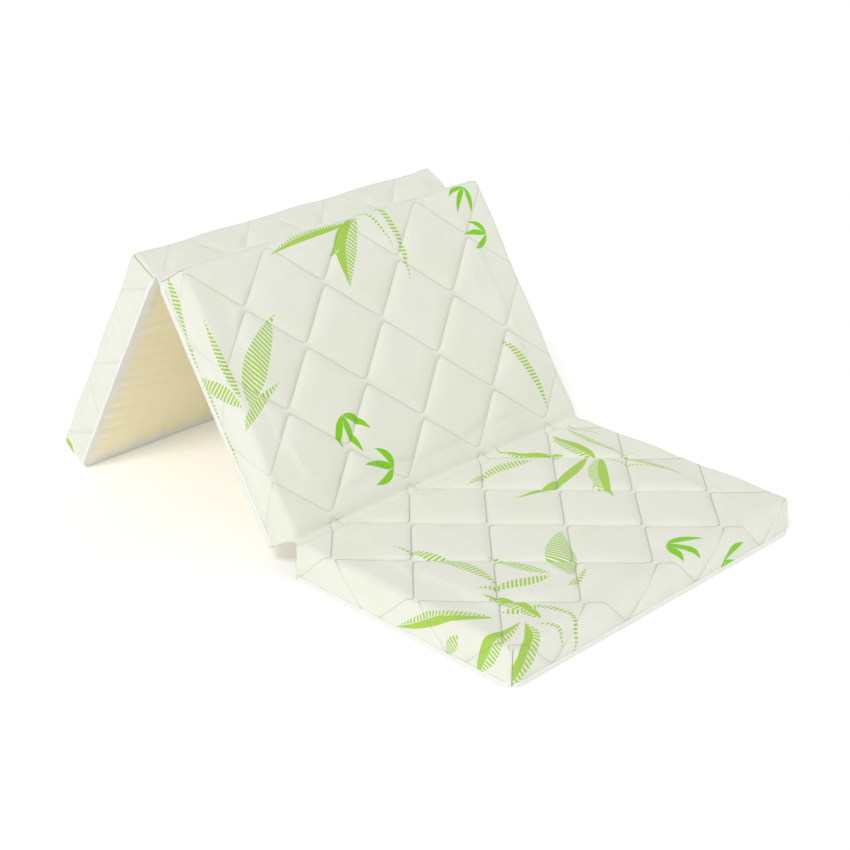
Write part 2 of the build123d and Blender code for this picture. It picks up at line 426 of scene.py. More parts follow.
def make_mesh(name, grids, outer, keys=None):
    """A mesh of quads from point grids. Also each quad's four grid points, and each grid
    point's vertex.

    Quads are wound to face the outer grids. Points whose keys agree are one vertex.
    """
    keys = grids if keys is None else keys
    quads, start = [], 0
    for grid, out in zip(grids, outer):
        n, m = grid.shape[:2]
        index = start + np.arange(n * m).reshape(n, m)
        quad = np.stack([index[:-1, :-1], index[1:, :-1], index[1:, 1:], index[:-1, 1:]], axis=-1)
        ahead, beside = grid[1:, :-1] - grid[:-1, :-1], grid[:-1, 1:] - grid[:-1, :-1]
        facing = (np.cross(ahead, beside) * (out - grid)[:-1, :-1]).sum()
        quads.append((quad if facing > 0 else quad[..., ::-1]).reshape(-1, 4))
        start += n * m
    quads = np.concatenate(quads)
    points = np.concatenate([grid.reshape(-1, 3) for grid in grids])
    key = np.concatenate([key.reshape(-1, 3) for key in keys])
    _, first, same = np.unique(np.round(key / (0.01 * MM)).astype(np.int64), axis=0,
                               return_index=True, return_inverse=True)
    vertex = same.reshape(-1)
    corners = vertex[quads]
    mesh = bpy.data.meshes.new(name)
    mesh.vertices.add(len(first))
    mesh.vertices.foreach_set("co", points[first].astype(np.float32).ravel())
    mesh.loops.add(corners.size)
    mesh.loops.foreach_set("vertex_index", corners.astype(np.int32).ravel())
    mesh.polygons.add(len(quads))
    mesh.polygons.foreach_set("loop_start", np.arange(0, corners.size, 4, dtype=np.int32))
    mesh.update(calc_edges=True)
    mesh.shade_smooth()
    return mesh, quads, vertex


def paint(mesh, name, values):
    """Keep three values for each face corner, as a vector attribute."""
    attribute = mesh.attributes.new(name, "FLOAT_VECTOR", "CORNER")
    attribute.data.foreach_set("vector", np.stack(values, axis=-1).astype(np.float32).ravel())

# ---------------------------------------------------------------------------
# The quilted cover: its printed leaves
# Sprigs of long thin leaves are screen-printed on the knit before it is
# quilted. Places are mm on the flat cloth: across from the left edge, and along
# from the first fold, towards the front pad's free end.
Leaf = namedtuple("Leaf", "root tip bend half_width style tone lean")
hatched, filled, half_filled, other_half = -9.0, 9.0, 1.0, -1.0
leaf_green, bright_green = 0.0, 1.0
hatch_pitch = 6.0
stitch_length = 3.4
furrow = 1.3
wale = 2.2
course = 2.6


def leaf(root, tip, bend=0.0, half_width=11.0, style=hatched, tone=leaf_green, lean=0.35):
    """One printed leaf from root to tip, bowed sideways by bend at its middle."""
    return Leaf(root, tip, bend, half_width, style, tone, lean)


def stem(root, tip, bend=0.0, half_width=2.6):
    """A thin hatched stroke, which prints as a row of dots."""
    return leaf(root, tip, bend, half_width, hatched, leaf_green, 0.2)


def spray(root, direction, size):
    """A small bright sprig: three plain leaves fanned about a direction in degrees."""
    leaves = []
    for turn, share, bow in ((-34, 0.85, -5), (2, 1.0, 4), (38, 0.8, 6)):
        angle = np.radians(direction + turn)
        tip = (root[0] + size * share * np.cos(angle), root[1] + size * share * np.sin(angle))
        leaves.append(leaf(root, tip, bow, size * 0.1, filled, bright_green))
    return leaves


sprigs = [
    # Middle pad, low on the left: three leaves on one stalk.
    leaf((12, -206), (4, -324), -5, 10),
    leaf((20, -190), (121, -300), -8, 19),
    leaf((6, -194), (-72, -262), 3, 12),
    leaf((-8, -162), (82, -208), -4, 8),
    # Middle pad, near the second fold.
    leaf((316, -392), (156, -380), 8, 9, other_half),
    leaf((325, -404), (256, -352), -9, 13, half_filled),
    leaf((331, -398), (268, -300), 13, 19, half_filled),
    leaf((300, -398), (262, -308), -8, 7, filled),
    stem((326, -424), (376, -326), -14),
    leaf((366, -424), (376, -275), -22, 6),
    stem((334, -412), (372, -440), 3),
    # Middle pad, right-hand side.
    leaf((508, -152), (544, -20), -12, 8),
    # Middle pad, down its left side.
    leaf((-36, -402), (-49, -300), -3, 8),
    leaf((-50, -302), (-51, -262), 2, 5),
    leaf((-50, -250), (-52, -188), 0, 5),
    stem((-50, -178), (-53, -104), 2, 3.4),
    # Front pad, by the fold: a broad spray.
    leaf((500, 112), (513, 17), -8, 14, half_filled),
    leaf((486, 108), (303, 124), -15, 9, filled),
    leaf((497, 124), (412, 220), 12, 15, other_half),
    leaf((476, 130), (412, 178), -8, 5, filled),
    leaf((548, 16), (540, 150), 8, 6),
    leaf((530, 138), (545, 240), 2, 7),
    stem((558, 4), (572, 70), 4),
    stem((505, 116), (530, 195), 6),
    leaf((470, 76), (411, -8), -10, 9, half_filled),
    leaf((418, 58), (292, 46), 9, 10),
    # Front pad, its middle left.
    leaf((112, 268), (82, 102), 10, 10),
    leaf((176, 300), (158, 204), -5, 9),
    leaf((172, 306), (78, 258), -6, 10),
    leaf((196, 320), (282, 232), -8, 21),
    leaf((170, 338), (226, 322), 4, 5),
    # Front pad, the left corner of its free end.
    leaf((44, 322), (-53, 191), -7, 12, other_half),
    leaf((82, 368), (74, 274), 7, 12, half_filled),
    leaf((-58, 338), (60, 354), 13, 15, other_half),
    leaf((-3, 449), (61, 360), 5, 18, other_half),
    leaf((62, 320), (112, 346), 6, 8),
    leaf((100, 338), (118, 396), -7, 5),
    leaf((120, 372), (118, 462), -2, 4),
    stem((68, 372), (92, 440), -10, 3.4),
    leaf((-20, 302), (-58, 282), 0, 9),
    # Small bright sprigs between them.
    *spray((160, -134), 75, 62),
    *spray((214, -36), 200, 56),
    *spray((560, -392), 130, 50),
    *spray((566, -312), 190, 46),
    *spray((356, 356), 62, 66),
    *spray((436, 436), 20, 56),
]
# The rear pad's cloth is cut from the same roll, so its sprigs come round again.
rear_sprigs = [
    leaf((96, -64), (178, -20), 10, 16, half_filled),
    leaf((300, -150), (270, -270), -10, 13),
    leaf((304, -140), (398, -232), -8, 18),
    leaf((296, -146), (214, -196), 6, 12),
    stem((300, -150), (306, -96), 3),
    leaf((500, -330), (352, -318), 14, 12, filled),
    leaf((506, -326), (430, -250), 10, 16, half_filled),
    leaf((512, -330), (560, -196), -12, 9),
    leaf((120, -330), (40, -392), 8, 13),
    leaf((128, -324), (60, -268), -8, 11),
    leaf((132, -330), (214, -400), -10, 15, half_filled),
    leaf((60, -388), (-20, -420), -8, 16, filled),
    leaf((-10, -396), (-38, -412), 0, 6, filled),
    *spray((470, -70), 200, 60),
    *spray((196, -250), -30, 52),
]
leaf_widest = 0.405
leaf_peak = leaf_widest ** 0.75 * (1 - leaf_widest) ** 1.1


def leaf_half(t, half_width):
    """A leaf's half-width at a share t of its length: t^0.75 (1 - t)^1.1, scaled to its widest."""
    return half_width * t ** 0.75 * (1 - t) ** 1.1 / leaf_peak


def leaf_place(across, along, table):
    """Where points lie on leaves: share of the length, mm sideways off the centre line, mm along.

    The centre line is the chord from root to tip plus 4 bend t (1 - t) sideways.
    """
    chord = table[..., 2:4] - table[..., 0:2]
    length = np.hypot(chord[..., 0], chord[..., 1])
    x, y = across - table[..., 0], along - table[..., 1]
    run = (x * chord[..., 0] + y * chord[..., 1]) / length
    t = run / length
    inside = np.clip(t, 0, 1)
    off = (y * chord[..., 0] - x * chord[..., 1]) / length
    return t, off - 4 * table[..., 4] * inside * (1 - inside), run


def print_cloth(mesh, across, along, leaves):
    """Give each face the leaf that it lies in or nearest to, and its corners' places on it."""
    table = np.array([(*one.root, *one.tip, one.bend, one.half_width, one.style, one.tone, one.lean)
                      for one in leaves])
    middle_across, middle_along = across.mean(axis=1), along.mean(axis=1)
    nearest, which = np.full(len(across), 1e9), np.zeros(len(across), int)
    for number, row in enumerate(table):
        t, off, _ = leaf_place(middle_across, middle_along, row)
        past = np.abs(t - np.clip(t, 0, 1)) * np.hypot(row[2] - row[0], row[3] - row[1])
        gap = np.abs(off) - leaf_half(np.clip(t, 0, 1), row[5]) + past
        which = np.where(gap < nearest, number, which)
        nearest = np.minimum(gap, nearest)
    rows = table[which][:, None, :]
    t, off, run = leaf_place(across, along, rows)
    style = np.broadcast_to(rows[..., 6], t.shape)
    fill = np.where(np.abs(style) == half_filled, style * off + 1.0, style)
    paint(mesh, "leaf_shape", [t, off, np.broadcast_to(rows[..., 5], t.shape)])
    paint(mesh, "leaf_ink", [run + rows[..., 8] * off, fill, np.broadcast_to(rows[..., 7], t.shape)])
    paint(mesh, "cloth", [across, along, stitch_distance(across, along)])


def attribute_parts(material, name):
    """The three numbers that a mesh keeps for each corner under a name, as outputs."""
    kept = add_node(material, "ShaderNodeAttribute", attribute_name=name)
    return add_node(material, "ShaderNodeSeparateXYZ", {0: kept.outputs["Vector"]}).outputs


def stripes(material, distance, pitch):
    """A wave from -1 to 1 along a distance in mm: sin(2 pi distance / pitch)."""
    phase = add_node(material, "ShaderNodeMath", {0: distance, 1: 2 * np.pi / pitch},
                     operation="MULTIPLY")
    return add_node(material, "ShaderNodeMath", {0: phase}, operation="SINE")


# Soft double-knit viscose: matt and a little downy, off-white with a green cast.
# Its wales are under 1 mm, so they are drawn at 2.2 mm to show.
knit, shader = start_material("printed_double_knit", 0.9, sheen=0.25, specular=0.2)
share, off_centre, half_width = attribute_parts(knit, "leaf_shape")
hatch_run, fill, bright = attribute_parts(knit, "leaf_ink")
cloth_across, cloth_along, stitch_gap = attribute_parts(knit, "cloth")
# Dart distance, height, and the strength of the painted shade in the stitch furrows.
dart_gap, pad_height, furrow_shade_weight = attribute_parts(knit, "sewing")

# The leaf's outline, as in leaf_half, with an edge 0.4 mm soft.
share = add_node(knit, "ShaderNodeMath", {0: share, 1: 1.0, 2: 0.0}, operation="MULTIPLY_ADD",
                 use_clamp=True)
rise = add_node(knit, "ShaderNodeMath", {0: share, 1: 0.75}, operation="POWER")
share_left = add_node(knit, "ShaderNodeMath", {0: 1.0, 1: share}, operation="SUBTRACT")
fall = add_node(knit, "ShaderNodeMath", {0: share_left, 1: 1.1}, operation="POWER")
taper = add_node(knit, "ShaderNodeMath", {0: rise, 1: fall}, operation="MULTIPLY")
taper = add_node(knit, "ShaderNodeMath", {0: taper, 1: 1 / leaf_peak}, operation="MULTIPLY")
half_here = add_node(knit, "ShaderNodeMath", {0: taper, 1: half_width}, operation="MULTIPLY")
off_centre = add_node(knit, "ShaderNodeMath", {0: off_centre}, operation="ABSOLUTE")
within = add_node(knit, "ShaderNodeMath", {0: half_here, 1: off_centre}, operation="SUBTRACT")
leaf_mask = add_node(knit, "ShaderNodeMath", {0: within, 1: 2.5}, operation="MULTIPLY",
                     use_clamp=True)

# The ink inside it: hatching, or solid where fill is over 0, with a bare vein between.
stripe = add_node(knit, "ShaderNodeMath", {0: stripes(knit, hatch_run, hatch_pitch), 1: 3.0, 2: 1.0},
                  operation="MULTIPLY_ADD", use_clamp=True)
solid = add_node(knit, "ShaderNodeMath", {0: fill, 1: 2.5}, operation="MULTIPLY", use_clamp=True)
vein = add_node(knit, "ShaderNodeMath", {0: fill}, operation="ABSOLUTE")
vein = add_node(knit, "ShaderNodeMath", {0: vein, 1: 1.6}, operation="MULTIPLY", use_clamp=True)
ink = add_node(knit, "ShaderNodeMath", {0: stripe, 1: solid}, operation="MAXIMUM")
ink = add_node(knit, "ShaderNodeMath", {0: ink, 1: leaf_mask}, operation="MULTIPLY")
ink = add_node(knit, "ShaderNodeMath", {0: ink, 1: vein}, operation="MULTIPLY")

# The ink is thinner in spots, and the knit's own tone drifts slowly.
cloth_vector = add_node(knit, "ShaderNodeAttribute", attribute_name="cloth").outputs["Vector"]
mottle = add_node(knit, "ShaderNodeTexNoise", {"Vector": cloth_vector, "Scale": 0.35,
                                               "Detail": 2.0})
worn = add_node(knit, "ShaderNodeMath", {0: mottle, 1: -0.5, 2: 1.25}, operation="MULTIPLY_ADD",
                use_clamp=True)
ink = add_node(knit, "ShaderNodeMath", {0: ink, 1: worn}, operation="MULTIPLY")
green = add_node(knit, "ShaderNodeMix", {0: bright, 6: linear("#ABD54E"), 7: linear("#86D400")},
                 data_type="RGBA")
blotch = add_node(knit, "ShaderNodeTexNoise", {"Vector": cloth_vector, "Scale": 0.012,
                                               "Detail": 2.0})
ground = add_node(knit, "ShaderNodeMix", {0: blotch, 6: linear("#F3F5E9"), 7: linear("#EAEDDC")},
                  data_type="RGBA")
printed = add_node(knit, "ShaderNodeMix", {0: ink, 6: ground.outputs[2], 7: green.outputs[2]},
                   data_type="RGBA")

# Painted shade of the stitch furrows, in 3.4 mm stitches: partly the thread's own darker colour,
# partly painted shade. Its strength is set for each pad by how the light falls there; it is fainter
# on the sides, and full along the darts as painted shade of their creases.
near_thread = add_node(knit, "ShaderNodeMath", {0: stitch_gap}, operation="ABSOLUTE")
near_thread = add_node(knit, "ShaderNodeMath", {0: near_thread, 1: -1 / furrow, 2: 1.0},
                       operation="MULTIPLY_ADD", use_clamp=True)
dash = add_node(knit, "ShaderNodeMath", {0: stripes(knit, cloth_across, stitch_length), 1: 1.5, 2: 0.9},
                operation="MULTIPLY_ADD", use_clamp=True)
darkness = add_node(knit, "ShaderNodeMath", {0: dash, 1: -0.2, 2: furrow_shade_weight},
                    operation="MULTIPLY_ADD")
thread = add_node(knit, "ShaderNodeMath", {0: near_thread, 1: darkness}, operation="MULTIPLY")
on_top = add_node(knit, "ShaderNodeMath", {0: pad_height, 1: 1 / 14, 2: -47 / 14},
                  operation="MULTIPLY_ADD", use_clamp=True)
on_top = add_node(knit, "ShaderNodeMath", {0: on_top, 1: 0.65, 2: 0.35}, operation="MULTIPLY_ADD")
thread = add_node(knit, "ShaderNodeMath", {0: thread, 1: on_top}, operation="MULTIPLY")
in_dart = add_node(knit, "ShaderNodeMath", {0: dart_gap, 1: -1 / 2.2, 2: 1.0},
                   operation="MULTIPLY_ADD", use_clamp=True)
thread = add_node(knit, "ShaderNodeMath", {0: thread, 1: in_dart}, operation="MAXIMUM")
# Mix in the thread colour, which is partly painted shade of the furrows and the dart creases.
sewn = add_node(knit, "ShaderNodeMix", {0: thread, 6: printed.outputs[2], 7: linear("#959B87")},
                data_type="RGBA")

# The relief: loops of the knit, its soft nap and the sunk stitches.
loops = add_node(knit, "ShaderNodeMath", {0: stripes(knit, cloth_across, wale),
                                          1: stripes(knit, cloth_along, course)},
                 operation="MULTIPLY")
nap = add_node(knit, "ShaderNodeTexNoise", {"Vector": cloth_vector, "Scale": 0.5, "Detail": 3.0})
loops = add_node(knit, "ShaderNodeMath", {0: nap, 1: 2.2, 2: loops}, operation="MULTIPLY_ADD")
sunk = add_node(knit, "ShaderNodeMath", {0: dash, 1: 3.0, 2: -4.0}, operation="MULTIPLY_ADD")
relief = add_node(knit, "ShaderNodeMath", {0: near_thread, 1: sunk, 2: loops},
                  operation="MULTIPLY_ADD")
surface = add_node(knit, "ShaderNodeBump", {"Height": relief, "Strength": 0.9,
                                            "Distance": 0.13 * MM})
finish_material(knit, shader, sewn.outputs[2], surface.outputs["Normal"])

# ---------------------------------------------------------------------------
# The quilted cover: its two caps
# The first runs over the front and middle pads and bends at the first fold.
# The second covers the rear pad, and reaches the first only along its underside.
slack_pitch = 6.5 * MM
slack_most = 1.5
# How strong the painted shade of the stitch furrows is on each pad, for how the light falls on it.
furrow_shade_by_pad = {"front": 0.8, "middle": 0.4, "rear": 0.4}


def stretch_to(values, shape):
    """A grid of values read at another grid's places, in straight lines between its own."""
    for axis, count in enumerate(shape):
        at = np.linspace(0, values.shape[axis] - 1, count)
        low = np.minimum(at.astype(int), values.shape[axis] - 2)
        part = (at - low).reshape([-1 if i == axis else 1 for i in range(2)])
        values = (np.take(values, low, axis) * (1 - part) + np.take(values, low + 1, axis) * part)
    return values


def simulate_slack(patches):
    """What a cloth simulation lifts the cover by between its stitches, in mm, on each patch.

    The cloth is 3 % too large for its rounded box. It is held along the stitching, the darts
    and the foot, and blown up lightly, so that it buckles between them as quilting does.
    """
    smooth = [[points[i] for points in (cap_points(patch) for patch in patches)] for i in (0, 1)]
    mesh, _, vertex = make_mesh("slack", *smooth, [cap_keys(patch) for patch in patches])
    held = np.concatenate([((np.abs(stitch_distance(patch.across, patch.along)) < 3.5)
                            | (corner_distance(patch) < 7)
                            | (patch.box[..., 2] < cover_foot + 3 * MM)
                            | (zip_clear(patch) > 0.5)
                            | (~patch.near_end & (patch.box[..., 0] < 7 * MM))).ravel()
                           for patch in patches])
    blank = bpy.data.objects.new("slack", mesh)
    bpy.context.scene.collection.objects.link(blank)
    blank.vertex_groups.new(name="sewn").add(np.unique(vertex[held]).tolist(), 1.0, "REPLACE")
    cloth = blank.modifiers.new("cloth", "CLOTH")
    cloth.settings.quality = 4
    cloth.settings.mass = 0.2
    cloth.settings.tension_stiffness = 12
    cloth.settings.compression_stiffness = 12
    cloth.settings.shear_stiffness = 6
    cloth.settings.bending_stiffness = 0.4
    cloth.settings.shrink_min = -0.03
    cloth.settings.use_pressure = True
    cloth.settings.uniform_pressure_force = 1.5
    cloth.settings.vertex_group_mass = "sewn"
    cloth.settings.effector_weights.gravity = 0.0
    cloth.collision_settings.use_collision = False
    cloth.point_cache.frame_end = 20
    for number in range(1, 21):
        bpy.context.scene.frame_set(number)
    seen = blank.evaluated_get(bpy.context.evaluated_depsgraph_get())
    moved = np.empty(len(mesh.vertices) * 3, np.float32)
    seen.data.vertices.foreach_get("co", moved)
    moved = moved.reshape(-1, 3)[vertex]
    bpy.data.objects.remove(blank)
    bpy.context.scene.frame_set(1)
    lifts, start = [], 0
    for inner, out in zip(*smooth):
        count = inner.shape[0] * inner.shape[1]
        shift = moved[start:start + count].reshape(inner.shape) - inner
        lifts.append((shift * (out - inner)).sum(axis=-1) / MM / MM)
        start += count
    return [slack_most * np.tanh((lift - np.mean(lift)) / slack_most) for lift in lifts]


def make_cap(name, pads, leaves):
    """One cap over some pads, with its slack, printed, and thick enough to be a closed shell."""
    patches = [patch for pad, way in pads
               for patch in cap_patches(pad, cover_pitch, way, pad is rear)]
    slack = [0.0 for patch in patches]
    coarse = [patch for pad, way in pads
              for patch in cap_patches(pad, slack_pitch, way, pad is rear)]
    slack = [stretch_to(lift, patch.box.shape[:2])
             for lift, patch in zip(simulate_slack(coarse), patches)]
    grids, outer = zip(*[cap_points(patch, lift) for patch, lift in zip(patches, slack)])
    mesh, quads, _ = make_mesh(name, grids, outer, [cap_keys(patch) for patch in patches])
    # Each corner keeps its dart distance, its height and its pad's strength of painted furrow shade.
    kept = [(corner_distance(patch), patch.box[..., 2] / MM,
             np.full(patch.across.shape, furrow_shade_by_pad[patch.pad.name]), patch.across, patch.along)
            for patch in patches]
    dart, height, tone, across, along = [np.concatenate([grid.ravel() for grid in layer])[quads]
                                         for layer in zip(*kept)]
    paint(mesh, "sewing", [dart, height, tone])
    print_cloth(mesh, across, along, leaves)
    cap = show(name, mesh, knit)
    shell = cap.modifiers.new("ply", "SOLIDIFY")
    shell.thickness = 1.0 * MM
    shell.offset = -1.0
    return cap


front_way, middle_way = 1.0, -1.0
main_cover = make_cap("front_and_middle_quilted_cover",
                      [(front, front_way), (middle, middle_way)], sprigs)
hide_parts("front_knit_face", "middle_knit_face", "front_wadding", "middle_wadding")
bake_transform(main_cover)

rear_cover = make_cap("rear_quilted_cover", [(rear, middle_way)], rear_sprigs)
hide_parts("rear_knit_face", "rear_wadding")
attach(rear_cover, "rear_pad")

# ---------------------------------------------------------------------------
# The backing scrim
# A thin spunbonded cloth on the back of each pad's quilting, which the thread
# is locked into. It lies on the foam and dips a little at each row of stitches.
scrim_inset = 6.0 * MM
scrim_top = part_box("front_backing_scrim")[1].z - 1.4 * MM
# Spunbonded polyester: white and papery, with loose fibres that catch the light.
spunbond, _ = flecked_material("spunbonded_polyester", 0.8, 0.3, "#F2F2F0", "#DCDCD8",
                               700.0, 0.4, 0.1 * MM, 4.0)
for pad in (front, middle, rear):
    clear_of_fold = pad._replace(start=rear.start if pad is rear else 12 * MM)
    patches = cap_patches(clear_of_fold, 6.0 * MM, 1.0, True, scrim_inset, scrim_top)
    grids, outer = [], []
    for patch in patches:
        surface, normal = round_off(patch)
        dent = 0.5 * MM * np.exp(-((stitch_distance(patch.across, patch.along) / 6.0) ** 2))
        for kept, out in ((grids, 0.0), (outer, MM)):
            kept.append(place(pad, *np.moveaxis(surface + normal * (out - dent[..., None]), -1, 0)))
    mesh, _, _ = make_mesh(f"{pad.name}_scrim", grids, outer, [cap_keys(patch) for patch in patches])
    lining = show(f"{pad.name}_scrim", mesh, spunbond)
    ply = lining.modifiers.new("ply", "SOLIDIFY")
    ply.thickness = 0.3 * MM
    ply.offset = -1.0
    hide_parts(f"{pad.name}_backing_scrim")
    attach(lining, f"{pad.name}_pad")

# ---------------------------------------------------------------------------
# The foam
# Each pad holds a slab of soft memory foam on a thicker, firmer one, both cut
# from block with a wire, so that their faces are flat and their cells open.
foam_inset = 6.5 * MM
foam_start = {"front": 4.5 * MM, "middle": 4.5 * MM, "rear": setback + foam_inset}


def block_grids(low, high, radius, pitch):
    """The six faces of a box as grids, with edges rounded as round_off does, and an outer copy."""
    low, high = np.array(low), np.array(high)
    grids, outer = [], []
    for axis in range(3):
        one, two = [i for i in range(3) if i != axis]
        for end in (low[axis], high[axis]):
            a, b = np.meshgrid(steps(low[one], high[one], pitch), steps(low[two], high[two], pitch),
                               indexing="ij")
            box = np.empty((*a.shape, 3))
            box[..., one], box[..., two], box[..., axis] = a, b, end
            core = np.clip(box, low + radius, high - radius)
            normal = box - core
            normal = normal / np.linalg.norm(normal, axis=-1, keepdims=True)
            grids.append(core + radius * normal)
            outer.append(core + (radius + MM) * normal)
    return grids, outer


for foam_name, low_h, high_h, light_tone, dark_tone, cell in (
    ("memory_foam", 36.0, 53.0, "#F3E6B4", "#E6D498", 0.7),
    ("support_foam", 2.4, 35.8, "#F2E8C4", "#E4D8AE", 1.4),
):
    # Cut flexible polyurethane: matt, cream, with pits where the wire opened the cells.
    foam, shader = start_material(f"cut_{foam_name}", 0.95, sheen=0.1, specular=0.2)
    spot = add_node(foam, "ShaderNodeTexCoord")
    cells = add_node(foam, "ShaderNodeTexVoronoi", {"Vector": spot.outputs["Object"],
                                                    "Scale": 1 / (cell * MM)})
    cloud = add_node(foam, "ShaderNodeTexNoise", {"Vector": spot.outputs["Object"], "Scale": 9.0})
    tone = add_node(foam, "ShaderNodeMix", {0: cloud.outputs["Fac"], 6: linear(light_tone),
                                            7: linear(dark_tone)}, data_type="RGBA")
    pits = add_node(foam, "ShaderNodeBump", {"Height": cells.outputs["Distance"], "Strength": 0.6,
                                             "Distance": 0.3 * MM})
    finish_material(foam, shader, tone.outputs[2], pits.outputs["Normal"])
    for pad in (front, middle, rear):
        low = (foam_start[pad.name], foam_inset, low_h * MM)
        high = (pad.end - foam_inset, width - foam_inset, high_h * MM)
        grids, outer = block_grids(low, high, 8 * MM, 6 * MM)
        grids, outer = [[place(pad, *np.moveaxis(grid, -1, 0)) for grid in each]
                        for each in (grids, outer)]
        mesh, _, _ = make_mesh(f"{pad.name}_{foam_name}_slab", grids, outer)
        slab = show(f"{pad.name}_{foam_name}_slab", mesh, foam)
        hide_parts(f"{pad.name}_{foam_name}")
        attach(slab, f"{pad.name}_pad")

# ---------------------------------------------------------------------------
# The underside cloths
# A thin plain cloth closes each pocket below. The foam shows through it as
# cream, and it is whiter where it is doubled at the seams or lifts in a gather.
cloth_pitch = 4.0 * MM
cloth_height = 0.95 * MM
cloth_corner = 18.0 * MM
plain_weave, shader = start_material("plain_woven_cotton", 0.85, sheen=0.15, specular=0.2)
cloth_across, cloth_along, seam_gap = attribute_parts(plain_weave, "cloth")
cloth_vector = add_node(plain_weave, "ShaderNodeAttribute", attribute_name="cloth")
soft_edge = add_node(plain_weave, "ShaderNodeTexNoise", {"Vector": cloth_vector.outputs["Vector"],
                                                         "Scale": 0.03, "Detail": 2.0})
seam_far = add_node(plain_weave, "ShaderNodeMath", {0: soft_edge, 1: 16.0, 2: seam_gap},
                    operation="MULTIPLY_ADD")
doubled = add_node(plain_weave, "ShaderNodeMath", {0: seam_far, 1: -1 / 18.0, 2: 2.0},
                   operation="MULTIPLY_ADD", use_clamp=True)
tone = add_node(plain_weave, "ShaderNodeMix", {0: doubled, 6: linear("#F8EFCC"),
                                               7: linear("#F1EFE6")}, data_type="RGBA")
# The real threads are 0.3 mm apart; they are drawn at 2 mm to show.
threads = add_node(plain_weave, "ShaderNodeMath", {0: stripes(plain_weave, cloth_across, 2.0),
                                                   1: stripes(plain_weave, cloth_along, 2.0)},
                   operation="MULTIPLY")
weave = add_node(plain_weave, "ShaderNodeBump", {"Height": threads, "Strength": 0.3,
                                                 "Distance": 0.08 * MM})
# The creases are the ones in the mesh, drawn deeper.
weave = add_node(plain_weave, "ShaderNodeBump", {
    "Height": attribute_parts(plain_weave, "gather")["X"], "Strength": 1.0, "Distance": 1.6 * MM,
    "Normal": weave.outputs["Normal"]})
finish_material(plain_weave, shader, tone.outputs[2], weave.outputs["Normal"])


def round_corners(along, across, high, radius):
    """A rectangle's grid with its two corners at `high` along rounded.

    In a corner the offset from the arc's centre keeps its larger part as its length, which
    turns each square ring there into a quarter circle.
    """
    core_along = np.minimum(along, high - radius)
    core_across = np.clip(across, cover_inset + radius, width - cover_inset - radius)
    a, b = along - core_along, across - core_across
    longer = np.maximum(np.abs(a), np.abs(b))
    scale = longer / np.maximum(np.hypot(a, b), 1e-9)
    return core_along + a * scale, core_across + b * scale


def gathers(along, across, low, high, seed):
    """How far in mm a cloth lifts outwards: creases square to each seam, dying away inwards.

    Each seam adds exp(-m / 70) (1 - exp(-m / 6)) times a wave along it, m being the distance
    from it. A slow swell is added, and the whole is held within the room at the fold.
    """
    total = 0.25 * waves(across, along, (150, 210), seed)
    seams = [(along - low, across), (high - along, across),
             (across, along), (width / MM - across, along)]
    for number, (away, beside) in enumerate(seams):
        away = np.maximum(away, 0)
        fade = np.exp(-away / 70) * (1 - np.exp(-away / 6))
        total = total + fade * (0.9 * waves(beside, away, (85, 330), seed + 1 + number)
                                + 0.5 * waves(beside, away, (40, 190), seed + 11 + number))
    away = np.min([np.maximum(seam[0], 0) for seam in seams], axis=0)
    return np.clip(1.15 * total, -0.9, 1.25) * (1 - np.exp(-away / 4)), away


def make_cloth(name, grid, outer, across, along, seam, lift, thick):
    """A sheet of cloth from a grid of points, with its woven attribute and its thickness."""
    mesh, quads, _ = make_mesh(name, [grid], [outer])
    paint(mesh, "cloth", [across.ravel()[quads], along.ravel()[quads], seam.ravel()[quads]])
    paint(mesh, "gather", [lift.ravel()[quads]] * 3)
    cloth = show(name, mesh, plain_weave)
    ply = cloth.modifiers.new("ply", "SOLIDIFY")
    ply.thickness = thick
    ply.offset = -1.0
    return cloth


s, u = np.meshgrid(steps(front.start + setback, front.end - cover_inset, cloth_pitch),
                   steps(cover_inset, width - cover_inset, cloth_pitch), indexing="ij")
lift, seam = gathers(s / MM, u / MM, s[0, 0] / MM, s[-1, 0] / MM, 31)
sheet_s, sheet_u = round_corners(s, u, front.end - cover_inset, cloth_corner)
low_h = cloth_height - np.clip(lift, -0.9, 0.85) * MM
front_cloth = make_cloth("front_underside_cloth", place(front, sheet_s, sheet_u, low_h),
                         place(front, sheet_s, sheet_u, low_h - MM), u / MM, s / MM,
                         seam - 1.5 * lift, lift, 0.5 * MM)
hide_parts("front_base_cloth")
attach(front_cloth, "front_pad")

# The middle and rear pads share one cloth, which is their hinge at the second fold.
# It turns about the fold line by a smoothstep of the run over a few millimetres.
hinge_band = 5 * MM
run, u = np.meshgrid(steps(setback - middle_length, rear_length - cover_inset, cloth_pitch / 1.5),
                     steps(cover_inset, width - cover_inset, cloth_pitch), indexing="ij")
middle_lift, middle_seam = gathers(run / MM, u / MM, run[0, 0] / MM, 0.0, 51)
rear_lift, rear_seam = gathers(run / MM, u / MM, 0.0, run[-1, 0] / MM, 71)
lift, seam = np.where(run < 0, middle_lift, rear_lift), np.where(run < 0, middle_seam, rear_seam)
sheet_run, sheet_u = round_corners(run, u, rear_length - cover_inset, cloth_corner)
t = np.clip(0.5 + sheet_run / (2 * hinge_band), 0, 1)
turn = (raised + lean) * t * t * (3 - 2 * t)


def hinged(rise):
    """Points of the shared cloth: its run and its rise from the fold line, turned with it."""
    x = np.cos(turn)[..., None] * middle.along - np.sin(turn)[..., None] * middle.up
    z = np.cos(turn)[..., None] * middle.up + np.sin(turn)[..., None] * middle.along
    points = second_line + sheet_run[..., None] * x + rise[..., None] * z
    points[..., 1] = base_low.y + sheet_u
    return points


rise = fold_rise + cloth_height - lift * MM
shared_cloth = make_cloth("middle_and_rear_underside_cloth", hinged(rise), hinged(rise - MM),
                          u / MM, run / MM, seam - 1.5 * lift, lift, 0.5 * MM)
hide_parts("middle_base_cloth", "rear_base_cloth")
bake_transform(shared_cloth)

